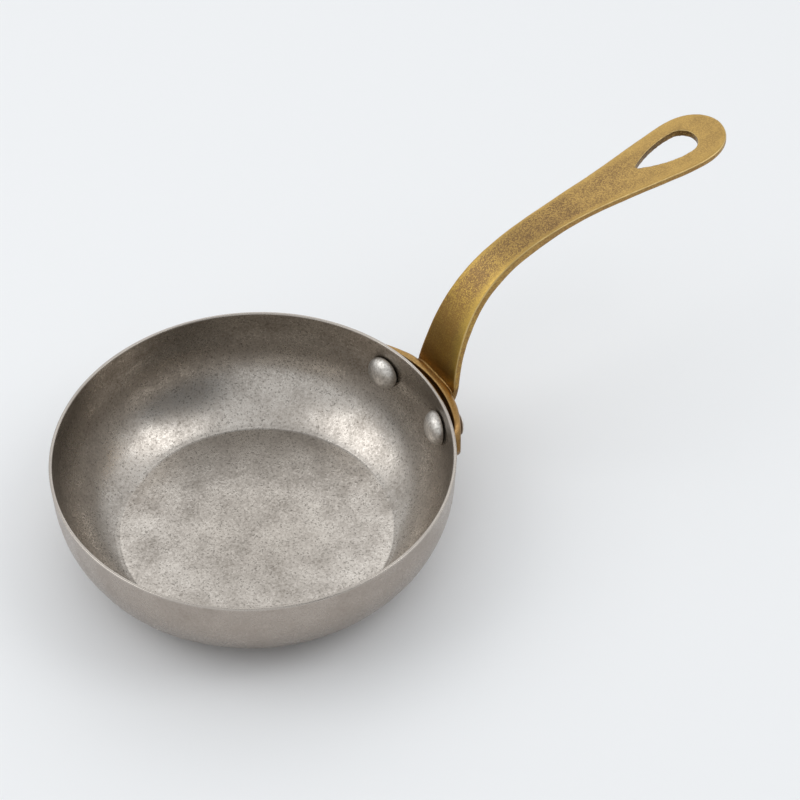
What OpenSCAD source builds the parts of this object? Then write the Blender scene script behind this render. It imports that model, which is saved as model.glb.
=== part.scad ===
// Small omelette pan: a pressed sheet-metal body and a cast handle, held together by two rivets.
// The origin is the centre of the underside, +Z is up and the handle reaches along +X.

/* [Pan body] */
// Outer diameter at the rim
rim_d = 140; // [120:1:220]
// Height of the rim above the surface that the pan stands on
pan_h = 40.5; // [37:0.5:50]
// Thickness of the sheet
sheet_t = 1.2; // [0.8:0.1:2.5]
// Width of the wall seen from above, from the edge of the flat underside out to the rim
wall_run = 22.5; // [19:0.5:26]
// Outer radius of the bend between the underside and the upright wall
wall_bend_r = 35; // [32:0.5:42]
// Lean of the upright wall, outward from the vertical, in degrees
wall_lean = 2.5; // [0:0.5:6]

/* [Rivets] */
// Height of the rivets below the rim
rivet_drop = 12.2; // [10:0.1:15]
// Distance between the two rivets
rivet_span = 34.2; // [31:0.1:37]
// Diameter of a rivet's shank
shank_d = 5; // [3:0.1:6]
// Diameter of the domed head inside the pan
head_d = 12.4; // [8:0.1:13]
// Height of the domed head inside the pan
head_h = 4.2; // [2:0.1:5.5]
// Diameter of the domed end that is formed on the outside
tail_d = 8; // [7:0.1:10]
// Height of the domed end that is formed on the outside
tail_h = 1.3; // [1:0.1:3]
// Radial clearance of a shank in its holes
shank_gap = 0.05; // [0.02:0.01:0.1]
// Clearance under a rivet's head and end, and between the handle and the wall
seat_gap = 0.05; // [0.02:0.01:0.1]

/* [Handle flange] */
// Depth of the flange's flat top below the rim
flange_drop = 4.5; // [3:0.1:6]
// Height of the flange
flange_h = 15.4; // [14:0.1:17]
// Width of the flange from ear to ear
flange_w = 59; // [50:0.5:60]
// Outer radius of the flange, seen from above
flange_bend_r = 47; // [44:0.5:56]
// Distance from the wall to the flange's outer face, in the middle at the rivets' height
flange_stand = 7.7; // [6.6:0.1:9]
// Radius of the flange's upper outer edge
flange_edge_r = 1.8; // [0.5:0.1:2.2]
// Radius of the upper corners of the ears
ear_top_r = 7.5; // [4:0.1:7.6]
// Radius of the lower corners of the ears
ear_bottom_r = 7.5; // [4:0.1:7.6]
// Depth of the flat top in the middle, from the hollow behind it to the outer face
ledge_t = 3.2; // [2.4:0.1:3.6]
// Radius of the hollow's upper edge, seen from above
hollow_r = 50.5; // [48:0.5:56]
// Depth of the slope at the top of the hollow
hollow_slope_h = 7; // [4:0.1:8]

/* [Handle bar] */
// Distance from the rim to the tip of the handle, level with the surface
handle_reach = 130; // [110:1:160]
// Height of the tip above the rim
handle_rise = 53.3; // [45:0.1:65]
// Distance that the bar's front is sunk below the flange's outer face, in the middle
bar_set_in = 0.5; // [0.2:0.1:1.5]
// Steepness of the bar where it leaves the flange, in degrees
root_slope = 80; // [74:1:88]
// Length over which the bar keeps that steepness
root_pull = 61.5; // [52:0.5:70]
// Steepness of the bar at the tip, in degrees
tip_slope = 9; // [3:1:16]
// Length over which the bar keeps that steepness
tip_pull = 73; // [60:0.5:80]
// Width of the bar where it leaves the flange
root_w = 21.8; // [18:0.1:23]
// Width of the neck
neck_w = 12.6; // [9:0.1:15]
// Greatest width near the tip
tip_w = 24.8; // [21:0.1:29]
// Distance of the neck from the flange, along the bar
neck_at = 62; // [50:1:75]
// Distance of the greatest width from the tip, along the bar
wide_at = 17; // [14:0.1:22]
// Thickness of the bar where it leaves the flange
root_t = 3.2; // [2.6:0.1:4.5]
// Thickness of the neck
neck_t = 4.3; // [3.5:0.1:7]
// Thickness of the flat tip
tip_t = 2.9; // [2.2:0.1:4.5]
// Length of the flat tip of even thickness
flat_tip_l = 58; // [42:1:66]
// Length of the bar's toe, below the flange's flat top
toe_l = 7; // [5:0.1:9]
// Radius of the bar's upper edges
edge_top_r = 1; // [0.3:0.1:1.2]
// Radius of the bar's lower edges
edge_under_r = 1.5; // [0.3:0.1:2]

/* [Hanging eye] */
// Radius of the eye's round end
eye_r = 6; // [4:0.1:7]
// Radius of the eye's narrow end
eye_point_r = 0.9; // [0.5:0.1:2]
// Length of the eye from end to end
eye_l = 26.3; // [20:0.1:32]
// Metal between the round end and the tip
eye_rim = 10.6; // [8:0.1:13]

/* [Hidden] */
$fn = 96;
steel = [0.66, 0.64, 0.61];
brass = [0.72, 0.57, 0.29];
rivet_steel = [0.72, 0.71, 0.69];
// Spare length that a cutting shape needs to pass right through
through = 1;
// Shape of the narrowing from the root to the neck, and of the widening from the neck to the tip
root_falloff = 1.85;
tip_falloff = 2.2;
tip_fullness = 1.5;
// Roundness of the tip: 2 is an ellipse, more is blunter
tip_roundness = 2.55;
// Rings along the bar, along its rounded tip and along its toe, and points on each rounded edge
bar_rings = 34;
tip_rings = 18;
toe_rings = 6;
edge_points = 4;
// Thickness that the toe keeps at its end, as it dies into the flange
toe_end_t = 0.8;
// Share of the bar, at its tip, that has the closer rings, and how far the last of them stays
// from the very tip, in ring steps
tip_share = 0.14;
tip_stop = 0.4;
// The most that an edge's radius may take of the width or the thickness of a thin section
edge_share = 0.45;
// Step in which the point of the curve at a distance from the tip is looked for
search_step = 0.002;

rim_r = rim_d / 2;
base_r = rim_r - wall_run;
rivet_z = pan_h - rivet_drop;
flange_top = pan_h - flange_drop;
flange_bottom = flange_top - flange_h;

// The wall in section: a straight upper part, then an arc down to the edge of the underside.
// wall_dir runs up the straight part and wall_in points from it into the pan.
wall_dir = [sin(wall_lean), cos(wall_lean)];
wall_in = [-cos(wall_lean), sin(wall_lean)];
from_base = [rim_r, pan_h] + wall_bend_r * wall_in - [base_r, 0];
along_wall = from_base * wall_dir;
straight_l = along_wall - sqrt(along_wall * along_wall - from_base * from_base + wall_bend_r * wall_bend_r);
bend_top = [rim_r, pan_h] - straight_l * wall_dir;
bend_centre = bend_top + wall_bend_r * wall_in;

// Radius of the wall's outer face at a height, and its lean from the vertical there
function wall_r(z) = z > bend_top[1]
    ? rim_r - (pan_h - z) * tan(wall_lean)
    : bend_centre[0] + sqrt(pow(wall_bend_r, 2) - pow(bend_centre[1] - z, 2));
function wall_tilt(z) = z > bend_top[1] ? wall_lean : asin((bend_centre[1] - z) / wall_bend_r);

// The flange's outer face and the hollow behind it are upright cylinders of their own,
// set by how far they stand off the wall at the rivets' height.
seat_r = wall_r(rivet_z);
rivet_angle = asin(rivet_span / 2 / seat_r);
flange_axis = seat_r + flange_stand - flange_bend_r;
hollow_axis = seat_r + flange_stand - ledge_t - hollow_r;
// The lower hollow meets the wall at the rivets, so the ears bear on the wall beyond them.
hollow_low_r = norm([seat_r * cos(rivet_angle) - hollow_axis, seat_r * sin(rivet_angle)]);

// Each rivet stands square to the wall. Its places are measured along its shank, outward from
// the wall's outer face. The head is flat below and meets the hollow wall with its edge.
rivet_tilt = wall_tilt(rivet_z);
head_seat = sheet_t + pow(head_d / 2, 2) / (2 * (wall_bend_r - sheet_t)) + seat_gap;
out_x = cos(rivet_tilt) * cos(rivet_angle);
out_y = cos(rivet_tilt) * sin(rivet_angle);
start_x = seat_r * cos(rivet_angle) - flange_axis;
start_y = seat_r * sin(rivet_angle);
out_sq = out_x * out_x + out_y * out_y;
out_dot = out_x * start_x + out_y * start_y;
start_gap = start_x * start_x + start_y * start_y - pow(flange_bend_r, 2);
tail_seat = (sqrt(out_dot * out_dot - out_sq * start_gap) - out_dot) / out_sq;

// The bar's front face follows one smooth curve in the XZ plane, from the flange to the tip.
root_point = [seat_r + flange_stand - bar_set_in, flange_top];
tip_point = [rim_r + handle_reach, pan_h + handle_rise];
root_dir = [cos(root_slope), sin(root_slope)];
tip_dir = [cos(tip_slope), sin(tip_slope)];
curve = [root_point, root_point + root_pull * root_dir, tip_point - tip_pull * tip_dir, tip_point];
function on_curve(t) = pow(1 - t, 3) * curve[0] + 3 * pow(1 - t, 2) * t * curve[1]
    + 3 * (1 - t) * t * t * curve[2] + pow(t, 3) * curve[3];
function slope_at(t) =
    let (d = pow(1 - t, 2) * (curve[1] - curve[0]) + 2 * (1 - t) * t * (curve[2] - curve[1])
        + t * t * (curve[3] - curve[2]))
    atan2(d[1], d[0]);

// Rings along the curve, closer together where the tip is rounded off
steps = concat(
    [for (i = [0 : bar_rings]) (1 - tip_share) * i / bar_rings],
    [for (i = [1 : tip_rings]) 1 - tip_share + tip_share * sin(90 * i / (tip_rings + tip_stop))]);
function length_to(i) =
    i == 0 ? 0 : length_to(i - 1) + norm(on_curve(steps[i]) - on_curve(steps[i - 1]));
lengths = [for (i = [0 : len(steps) - 1]) length_to(i)];
bar_l = lengths[len(lengths) - 1] + norm(tip_point - on_curve(steps[len(steps) - 1]));

function ease(x) = let (c = min(max(x, 0), 1)) c * c * (3 - 2 * c);
// Width and thickness of the bar at a distance along it
function widening(x) = pow(1 - pow(x, tip_falloff), tip_fullness);
function bar_w(l) = l < neck_at
    ? neck_w + (root_w - neck_w) * pow(1 - l / neck_at, root_falloff)
    : l < bar_l - wide_at
        ? tip_w - (tip_w - neck_w) * widening((l - neck_at) / (bar_l - wide_at - neck_at))
        : tip_w * sqrt(1 - pow((l - bar_l + wide_at) / wide_at, tip_roundness));
function bar_t(l) = l < neck_at
    ? root_t + (neck_t - root_t) * ease(l / neck_at)
    : neck_t + (tip_t - neck_t) * ease((l - neck_at) / (bar_l - flat_tip_l - neck_at));

// One ring of the bar: a rectangle with rounded corners, across the bar and down from its front
function corner(y, d, r, from) =
    [for (k = [0 : edge_points]) let (a = from + 90 * k / edge_points) [y + r * cos(a), d - r * sin(a)]];
function ring(w, t) =
    let (most = edge_share * min(w, t), a = min(edge_top_r, most), b = min(edge_under_r, most))
    concat(
        corner(w / 2 - a, a, a, 0),
        corner(a - w / 2, a, a, 90),
        corner(b - w / 2, t - b, b, 180),
        corner(w / 2 - b, t - b, b, 270));
function placed(p, slope, section) =
    [for (q = section) [p[0] + q[1] * sin(slope), q[0], p[1] - q[1] * cos(slope)]];

// A ring of the toe: it follows the bar straight down the flange and thins to nothing
function toe_ring(k) =
    let (x = k / toe_rings)
    placed(root_point - x * toe_l * root_dir, root_slope,
        ring(root_w, toe_end_t + (root_t - toe_end_t) * sqrt(1 - x * x)));
rings = concat(
    [for (k = [toe_rings : -1 : 1]) toe_ring(k)],
    [for (i = [0 : len(steps) - 1])
        placed(on_curve(steps[i]), slope_at(steps[i]), ring(bar_w(lengths[i]), bar_t(lengths[i])))]);

// The point of the curve that lies a given distance back from the tip
function back_from_tip(d, t = 1) =
    norm(tip_point - on_curve(t)) >= d ? on_curve(t) : back_from_tip(d, t - search_step);
eye_round = back_from_tip(eye_rim + eye_r);
eye_point = back_from_tip(eye_rim + eye_l - eye_point_r);
eye_slope = atan2(eye_round[1] - eye_point[1], eye_round[0] - eye_point[0]);
// The eye's long sides are two large arcs that run into its two round ends without a kink
eye_run = eye_l - eye_r - eye_point_r;
eye_side_r = (pow(eye_run, 2) + pow(eye_r, 2) - pow(eye_point_r, 2)) / (2 * (eye_r - eye_point_r));
eye_side_end = eye_run * eye_side_r / (eye_side_r - eye_point_r);

// Half of the wall's section with everything inside it, drawn in by inset from the outer face
module pan_section(inset) {
    bend_r = wall_bend_r - inset;
    top = pan_h + through * (inset == 0 ? 0 : 1);
    foot = bend_centre[0] + sqrt(pow(bend_r, 2) - pow(bend_centre[1] - inset, 2));
    knee = bend_centre - bend_r * wall_in;
    head = knee + (top - knee[1]) / wall_dir[1] * wall_dir;
    polygon([[0, inset], [foot, inset], knee, head, [0, top]]);
    intersection() {
        translate(bend_centre) circle(r = bend_r, $fn = 180);
        translate([bend_centre[0], inset]) square([bend_r, knee[1] - inset]);
    }
}

module ring_about(x) {
    translate([x, 0, 0]) rotate_extrude($fn = 180) children();
}

// Places its children at a rivet, with +X outward along the shank from the wall's outer face
module at_rivet(side) {
    rotate([0, 0, side * rivet_angle]) translate([seat_r, 0, rivet_z]) rotate([0, rivet_tilt, 0]) children();
}

module rivet_holes() {
    for (side = [-1, 1])
        at_rivet(side)
            translate([-head_seat - through, 0, 0])
                rotate([0, 90, 0])
                    cylinder(r = shank_d / 2 + shank_gap, h = head_seat + tail_seat + 2 * through);
}

// The flange's outer face, as the solid inside it, grown outward by a clearance
module flange_core(grow) {
    r = flange_bend_r + grow;
    top = flange_top + grow;
    edge = flange_edge_r + grow;
    bottom = flange_bottom - through;
    ring_about(flange_axis) {
        translate([0, bottom]) square([r, top - edge - bottom]);
        translate([0, bottom]) square([r - edge, top - bottom]);
        translate([r - edge, top - edge]) intersection() {
            circle(r = edge);
            square(edge);
        }
    }
}

// A square corner less its round, to be cut from the ears
module ear_corner(r) {
    difference() {
        square(r + through);
        circle(r = r);
    }
}

module flange_outline() {
    half_w = flange_w / 2;
    difference() {
        translate([-half_w, flange_bottom]) square([flange_w, flange_h]);
        for (side = [0, 1]) mirror([side, 0]) {
            translate([half_w - ear_top_r, flange_top - ear_top_r]) ear_corner(ear_top_r);
            translate([half_w - ear_bottom_r, flange_bottom + ear_bottom_r])
                mirror([0, 1])
                    ear_corner(ear_bottom_r);
        }
    }
}

module flange() {
    difference() {
        intersection() {
            flange_core(0);
            translate([flange_axis, 0, 0])
                rotate([90, 0, 90])
                    linear_extrude(flange_bend_r + through) flange_outline();
        }
        ring_about(hollow_axis) polygon([
            [0, flange_bottom - through],
            [hollow_low_r, flange_bottom - through],
            [hollow_low_r, flange_top - hollow_slope_h],
            [hollow_r, flange_top],
            [hollow_r, flange_top + through],
            [0, flange_top + through]]);
        ring_about(0) pan_section(-seat_gap);
    }
}

module bar() {
    m = len(rings[0]);
    n = len(rings);
    // Each cell between two rings: its two corners on the ring, then those on the next ring
    cells = [for (i = [0 : n - 2], j = [0 : m - 1])
        let (here = i * m, next = here + m, k = (j + 1) % m)
        [here + j, here + k, next + j, next + k]];
    polyhedron(
        points = [for (r = rings, p = r) p],
        faces = concat(
            [for (c = cells) [c[0], c[3], c[1]]],
            [for (c = cells) [c[0], c[2], c[3]]],
            [[for (j = [0 : m - 1]) j]],
            [[for (j = [m - 1 : -1 : 0]) (n - 1) * m + j]]));
}

module eye_outline() {
    circle(r = eye_r);
    translate([-eye_run, 0]) circle(r = eye_point_r);
    intersection() {
        translate([0, eye_r - eye_side_r]) circle(r = eye_side_r, $fn = 240);
        translate([0, eye_side_r - eye_r]) circle(r = eye_side_r, $fn = 240);
        translate([-eye_side_end, -eye_r]) square([eye_side_end, 2 * eye_r]);
    }
}

module eye() {
    translate([eye_round[0], 0, eye_round[1]])
        rotate([0, -eye_slope, 0])
            translate([0, 0, -tip_t - 2 * through])
                linear_extrude(tip_t + 4 * through) eye_outline();
}

module rivet(side) {
    head_r = head_d / 2;
    head_dome_r = (pow(head_r, 2) + pow(head_h, 2)) / (2 * head_h);
    tail_r = tail_d / 2;
    tail_dome_r = (pow(tail_r, 2) + pow(tail_h, 2)) / (2 * tail_h);
    at_rivet(side) {
        translate([-head_seat, 0, 0]) rotate([0, 90, 0]) cylinder(r = shank_d / 2, h = head_seat + tail_seat);
        translate([-head_seat, 0, 0]) rotate([0, -90, 0]) intersection() {
            translate([0, 0, head_h - head_dome_r]) sphere(r = head_dome_r);
            cylinder(r = head_r, h = head_h + through);
        }
    }
    difference() {
        at_rivet(side) translate([tail_seat, 0, 0]) rotate([0, 90, 0]) intersection() {
            translate([0, 0, tail_h - tail_dome_r]) sphere(r = tail_dome_r);
            translate([0, 0, -through]) cylinder(r = tail_r, h = tail_h + 2 * through);
        }
        flange_core(seat_gap);
    }
}

module pan_body() {
    color(steel) difference() {
        ring_about(0) difference() {
            pan_section(0);
            pan_section(sheet_t);
        }
        rivet_holes();
    }
}

module handle() {
    color(brass) difference() {
        union() {
            flange();
            bar();
        }
        rivet_holes();
        eye();
    }
}

module rivet_left() {
    color(rivet_steel) rivet(1);
}

module rivet_right() {
    color(rivet_steel) rivet(-1);
}

pan_body();
handle();
rivet_left();
rivet_right();
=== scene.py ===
# A small omelette pan, dressed for looks: a pressed steel body, a cast brass handle and two rivets.
# Lengths in the settings are metres. The makers work in millimetres, in the part's own frame: the
# origin is the centre of the underside, +Z is up and the handle reaches along +X.
import math
from types import SimpleNamespace

import bmesh
import bpy
from bpy.props import FloatProperty, FloatVectorProperty, PointerProperty
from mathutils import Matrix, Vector, noise
from mathutils.kdtree import KDTree


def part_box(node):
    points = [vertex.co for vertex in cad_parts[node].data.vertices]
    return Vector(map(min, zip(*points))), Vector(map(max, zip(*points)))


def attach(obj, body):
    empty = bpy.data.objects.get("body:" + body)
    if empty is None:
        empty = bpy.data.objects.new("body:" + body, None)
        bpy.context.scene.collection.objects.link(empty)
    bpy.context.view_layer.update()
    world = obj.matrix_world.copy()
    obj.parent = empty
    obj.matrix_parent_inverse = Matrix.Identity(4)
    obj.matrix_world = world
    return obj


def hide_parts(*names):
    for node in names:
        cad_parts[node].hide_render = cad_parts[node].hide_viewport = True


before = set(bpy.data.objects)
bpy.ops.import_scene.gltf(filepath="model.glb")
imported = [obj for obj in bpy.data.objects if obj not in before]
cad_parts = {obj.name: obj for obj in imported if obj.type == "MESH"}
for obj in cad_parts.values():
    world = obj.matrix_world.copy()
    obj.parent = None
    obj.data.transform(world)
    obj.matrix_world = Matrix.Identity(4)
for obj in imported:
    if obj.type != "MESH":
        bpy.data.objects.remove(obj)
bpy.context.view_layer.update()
BODY_LOW, BODY_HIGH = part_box("pan_body")

bl_info = {
    "name": "Omelette Pan",
    "version": (1, 0, 0),
    "blender": (4, 5, 0),
    "location": "View3D > Sidebar > Omelette Pan",
    "description": "Makes a small riveted omelette pan and the studio stage that it stands on",
    "category": "Add Mesh",
}

MM = 1000.0  # Millimetres in a metre.
ARC_STEPS = 5  # Faces round a small edge.
TINY = 1e-6
FACTOR, UNDER, OVER, MIXED = 0, 6, 7, 2  # Sockets of a Mix node that is set to colours.


def linear(hex_colour):
    """The linear RGB of an sRGB hex colour."""
    values = [int(hex_colour[i : i + 2], 16) / 255 for i in (1, 3, 5)]
    return [v / 12.92 if v <= 0.04045 else ((v + 0.055) / 1.055) ** 2.4 for v in values]


def length(name, description, millimetres):
    """A length setting, with its default given in millimetres."""
    return FloatProperty(
        name=name, description=description, default=millimetres / MM, unit="LENGTH", precision=5
    )


def angle(name, description, degrees):
    """An angle setting, with its default given in degrees."""
    return FloatProperty(
        name=name, description=description, default=math.radians(degrees), subtype="ANGLE"
    )


def colour(name, description, hex_colour):
    """A colour setting, with its default given as sRGB hex."""
    return FloatVectorProperty(
        name=name,
        description=description,
        default=linear(hex_colour),
        subtype="COLOR",
        size=3,
        min=0,
        max=1,
    )


class PanSizes(bpy.types.PropertyGroup):
    """Sizes of the pressed body."""

    rim_d: length("Rim diameter", "Outer diameter at the rim", MM * (BODY_HIGH.x - BODY_LOW.x))
    height: length("Height", "Height of the rim above the surface", MM * BODY_HIGH.z)
    sheet: length("Sheet", "Thickness of the sheet", 1.2)
    wall_run: length("Wall run", "Width of the wall seen from above", 22.5)
    bend_r: length("Wall bend", "Outer radius of the bend of the wall", 35.0)
    lean: angle("Wall lean", "Outward lean of the upright wall", 2.5)
    rim_round: length("Rim rounding", "Radius of the two edges of the rim", 0.45)
    crease_round: length("Crease rounding", "Radius of the crease around the floor", 2.5)
    dish: length("Dish", "Rise of the floor's outer part towards the crease", 0.5)
    dish_width: length("Dish width", "Width of the floor's outer part that rises", 13.0)
    waviness: length("Waviness", "Depth of the hand-worked unevenness of the sheet", 0.16)
    rivet_dimple: length("Rivet dimple", "Depth that the sheet is drawn in round a rivet", 0.5)


class RivetSizes(bpy.types.PropertyGroup):
    """Sizes of the two rivets."""

    drop: length("Drop", "Height of the rivets below the rim", 12.2)
    span: length("Span", "Distance between the two rivets", 34.2)
    shank_d: length("Shank", "Diameter of a shank", 5.0)
    head_d: length("Head", "Diameter of the head inside the pan", 12.4)
    head_h: length("Head height", "Height of the head inside the pan", 4.3)
    head_edge: length("Head edge", "Height of the upright edge of the head", 0.55)
    tail_d: length("Tail", "Diameter of the end outside", 8.0)
    tail_h: length("Tail height", "Height of the end outside", 1.3)
    hole_gap: length("Hole gap", "Radial clearance of a shank in its holes", 0.05)
    hammering: length("Hammering", "Depth of the flats left by the hammer", 0.09)


class HandleSizes(bpy.types.PropertyGroup):
    """Sizes of the cast handle."""

    flange_drop: length("Flange drop", "Depth of the flange's flat top below the rim", 4.5)
    flange_h: length("Flange height", "Height of the flange", 15.4)
    flange_w: length("Flange width", "Width from ear to ear", 59.0)
    flange_r: length("Flange radius", "Outer radius seen from above", 47.0)
    flange_stand: length("Flange stand", "Distance from the wall to the outer face", 7.7)
    flange_edge: length("Flange edge", "Radius of the upper outer edge", 1.8)
    ear_r: length("Ear radius", "Radius of the ears' corners", 7.5)
    ear_draw: length("Ear draw", "Depth that the left ear was dressed back", 1.1)
    ledge: length("Ledge", "Depth of the flat top in the middle", 3.2)
    hollow_r: length("Hollow radius", "Radius of the hollow's upper edge", 50.5)
    hollow_slope: length("Hollow slope", "Depth of the slope at the top of the hollow", 7.0)
    seat_gap: length("Seat gap", "Clearance between the flange and the wall", 0.05)
    reach: length("Reach", "Distance from the rim to the tip, level", 130.0)
    rise: length("Rise", "Height of the tip above the rim", 53.3)
    set_in: length("Set-in", "Distance of the bar's front below the outer face", 0.5)
    root_pull: length("Root pull", "Length over which the bar keeps its steepness", 61.5)
    tip_pull: length("Tip pull", "Length over which the bar levels out", 73.0)
    root_w: length("Root width", "Width where the bar leaves the flange", 21.8)
    neck_w: length("Neck width", "Width of the neck", 12.6)
    tip_w: length("Tip width", "Greatest width near the tip", 24.8)
    neck_at: length("Neck place", "Distance of the neck along the bar", 62.0)
    wide_at: length("Wide place", "Distance of the greatest width from the tip", 17.0)
    root_t: length("Root thickness", "Thickness where the bar leaves the flange", 3.2)
    neck_t: length("Neck thickness", "Thickness of the neck", 4.3)
    tip_t: length("Tip thickness", "Thickness of the flat tip", 2.9)
    flat_tip: length("Flat tip", "Length of the tip of even thickness", 58.0)
    toe: length("Toe", "Length of the bar's toe below the ledge", 7.0)
    edge_top: length("Upper edge", "Radius of the bar's upper edges", 0.7)
    edge_under: length("Lower edge", "Radius of the bar's lower edges", 1.5)
    eye_r: length("Eye radius", "Radius of the eye's round end", 6.0)
    eye_point: length("Eye point", "Radius of the eye's narrow end", 0.9)
    eye_l: length("Eye length", "Length of the eye from end to end", 26.3)
    eye_rim: length("Eye rim", "Metal between the eye and the tip", 10.6)
    eye_shift: length("Eye shift", "Distance of the eye from the middle, to the left", 0.7)
    cast_grain: length("Cast unevenness", "Depth of the casting's unevenness", 0.1)


class Finishes(bpy.types.PropertyGroup):
    """Colours and pattern sizes of the metals."""

    steel_light: colour("Steel light", "Rubbed bright grains of the steel", "#d3cdc5")
    steel_mid: colour("Steel", "Tumbled grey of the steel", "#b9b2aa")
    steel_dark: colour("Steel dark", "Oxide in the hollows of the steel", "#857d74")
    # Painted shade: darkens and warms the upper wall inside. It also browns the worn middle of the
    # floor.
    steel_warm: colour("Steel warm tint", "Warm tint high on the wall", "#a39a8c")
    steel_pit: colour("Steel pits", "Small dark pits inside the pan", "#4d4943")
    steel_outer: colour("Steel outside", "Plain satin of the outside", "#a5998f")
    brass_gold: colour("Brass", "Rubbed brass", "#c19f5e")
    # Brown and deep patina are also laid on the bar's sides and the flange's flanks as painted
    # shade.
    brass_brown: colour("Brass patina", "Brown patina in the grain", "#866b4a")
    brass_dark: colour("Brass deep patina", "Dark patina at the root", "#a67d38")
    # Painted shade in the eye, on the flanks and in the corner above the ledge, and dark patches
    # low on the bar's left.
    brass_grime: colour("Brass grime", "Dark film in the eye and on the flanks", "#5c4424")
    brass_olive: colour("Olive brass", "Rubbed brass low on the bar", "#c6a552")
    brass_orange: colour("Brass tarnish", "Orange tan tarnish on the ledge", "#ab8654")
    brass_rubbed: colour("Brass edges", "Bright metal of the rubbed edges", "#e2c88e")
    rivet_light: colour("Rivet light", "Bright tops of the rivets", "#e6e2dc")
    rivet_dark: colour("Rivet dark", "Hollows of the rivets", "#bcb7b0")
    grain: length("Grain", "Spacing of the tumbled grain as drawn", 0.45)
    brass_grain: length("Casting grain", "Spacing of the sand mould's grain as drawn", 0.36)
    blotch: length("Blotches", "Size of the cloudy patches", 14.0)


class StageSizes(bpy.types.PropertyGroup):
    """Camera, floor and light."""

    lens: FloatProperty(
        name="Lens", description="Focal length in mm on a 36 mm frame", default=117.0
    )
    pitch: angle("Camera tilt", "Camera tilt up from straight down", 44.25)
    turn: angle("Camera turn", "Camera turn about the upright axis", -34.45)
    camera_at: FloatVectorProperty(
        name="Camera place",
        description="Where the camera stands",
        default=(-0.3034, -0.5314, 0.6924),
        subtype="TRANSLATION",
    )
    floor: colour("Floor", "Colour of the floor", "#eeeff0")
    sky: colour("Studio", "Colour of the pale studio round the object", "#eef0f2")
    lamp: FloatProperty(
        name="Lamp power",
        description="Power that the soft lamps are shares of",
        default=1.65,
        unit="POWER",
    )
    light: FloatProperty(
        name="Studio light", description="Strength of the studio's light on the floor", default=0.85
    )
    dim_side: FloatProperty(
        name="Dim side",
        description="Strength of the studio's dimmer side, as the metal sees it",
        default=0.25,
    )


def sizes(scene):
    """The sizes of the body, the rivets and the handle, with lengths in millimetres."""
    made = []
    for group in (scene.pan_sizes, scene.rivet_sizes, scene.handle_sizes):
        made.append(SimpleNamespace())
        for key in group.__annotations__:
            scale = MM if group.bl_rna.properties[key].unit == "LENGTH" else 1
            setattr(made[-1], key, getattr(group, key) * scale)
    return made


def direction(side, height):
    """The direction at an angle about the upright axis, from +X, and a height, both in degrees."""
    a, b = math.radians(side), math.radians(height)
    return Vector((math.cos(b) * math.cos(a), math.cos(b) * math.sin(a), math.sin(b)))


def arc(start, stop, steps):
    """Angles in radians from start to stop degrees."""
    return [math.radians(start + (stop - start) * k / steps) for k in range(steps + 1)]


def ease(low, high, x):
    """0 below low, 1 above high and an even ease between them."""
    t = min(max((x - low) / (high - low), 0.0), 1.0)
    return t * t * (3 - 2 * t)


def uneven(co, *lumps):
    """Smooth noise, for each kind of lump by its size in millimetres, its seed and its share."""
    return sum(
        share * noise.noise(Vector(co) / size + Vector((seed, 2.3 * seed, -1.7 * seed)))
        for size, seed, share in lumps
    )


def rounded(corners, steps=ARC_STEPS):
    """The points of an outline through (x, y, radius) corners, each rounded to its radius."""
    most = 0.49  # An arc takes up at most this share of a side.
    points = []
    for i, (x, y, r) in enumerate(corners):
        here = Vector((x, y))
        before = Vector(corners[i - 1][:2]) - here
        after = Vector(corners[(i + 1) % len(corners)][:2]) - here
        if r <= 0 or before.length < TINY or after.length < TINY:
            points.append((x, y))
            continue
        half = before.angle(after) / 2
        back = min(r / math.tan(half), most * before.length, most * after.length)
        r = back * math.tan(half)
        before.normalize()
        after.normalize()
        centre = here + (before + after).normalized() * r / math.sin(half)
        start = here + before * back - centre
        turn = start.angle_signed(here + after * back - centre)
        for k in range(steps + 1):
            cos, sin = math.cos(-turn * k / steps), math.sin(-turn * k / steps)
            x_here = centre.x + start.x * cos - start.y * sin
            points.append((x_here, centre.y + start.x * sin + start.y * cos))
    return points


def as_mesh(name, made):
    """The mesh of a closed bmesh, with its faces turned outward."""
    bmesh.ops.recalc_face_normals(made, faces=made.faces)
    mesh = bpy.data.meshes.new(name)
    made.to_mesh(mesh)
    made.free()
    return mesh


def skin(name, rings):
    """A closed mesh, in millimetres, over rings of equally many points."""
    made = bmesh.new()
    rows = [[made.verts.new(p) for p in ring] for ring in rings]
    count = len(rows[0])
    for low, high in zip(rows, rows[1:]):
        for j in range(count):
            made.faces.new((low[j], low[(j + 1) % count], high[(j + 1) % count], high[j]))
    made.faces.new(list(reversed(rows[0])))
    made.faces.new(rows[-1])
    return as_mesh(name, made)


def lathe(name, profile, turns):
    """A closed mesh, in millimetres, of an (x, z) profile from axis to axis, spun about Z."""
    made = bmesh.new()
    first, last = [made.verts.new((0, 0, profile[i][1])) for i in (0, -1)]
    spokes = [
        [made.verts.new((r * math.cos(a), r * math.sin(a), z)) for r, z in profile[1:-1]]
        for a in arc(0, 360, turns)[:-1]
    ]
    for here, there in zip(spokes, spokes[1:] + spokes[:1]):
        made.faces.new((first, here[0], there[0]))
        made.faces.new((last, there[-1], here[-1]))
        for i in range(len(here) - 1):
            made.faces.new((here[i], here[i + 1], there[i + 1], there[i]))
    return as_mesh(name, made)


def show(name, data):
    """An object in the scene for a mesh, a camera or a lamp."""
    made = bpy.data.objects.new(name, data)
    bpy.context.scene.collection.objects.link(made)
    return made


def applied(piece, kind, **settings):
    """Adds a modifier with its settings to a piece and makes its result the piece's mesh."""
    modifier = piece.modifiers.new(kind.lower(), kind)
    for key, value in settings.items():
        setattr(modifier, key, value)
    bpy.context.view_layer.update()
    seen = piece.evaluated_get(bpy.context.evaluated_depsgraph_get())
    result = bpy.data.meshes.new_from_object(seen)
    piece.modifiers.clear()
    old = piece.data
    piece.data = result
    bpy.data.meshes.remove(old)


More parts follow.
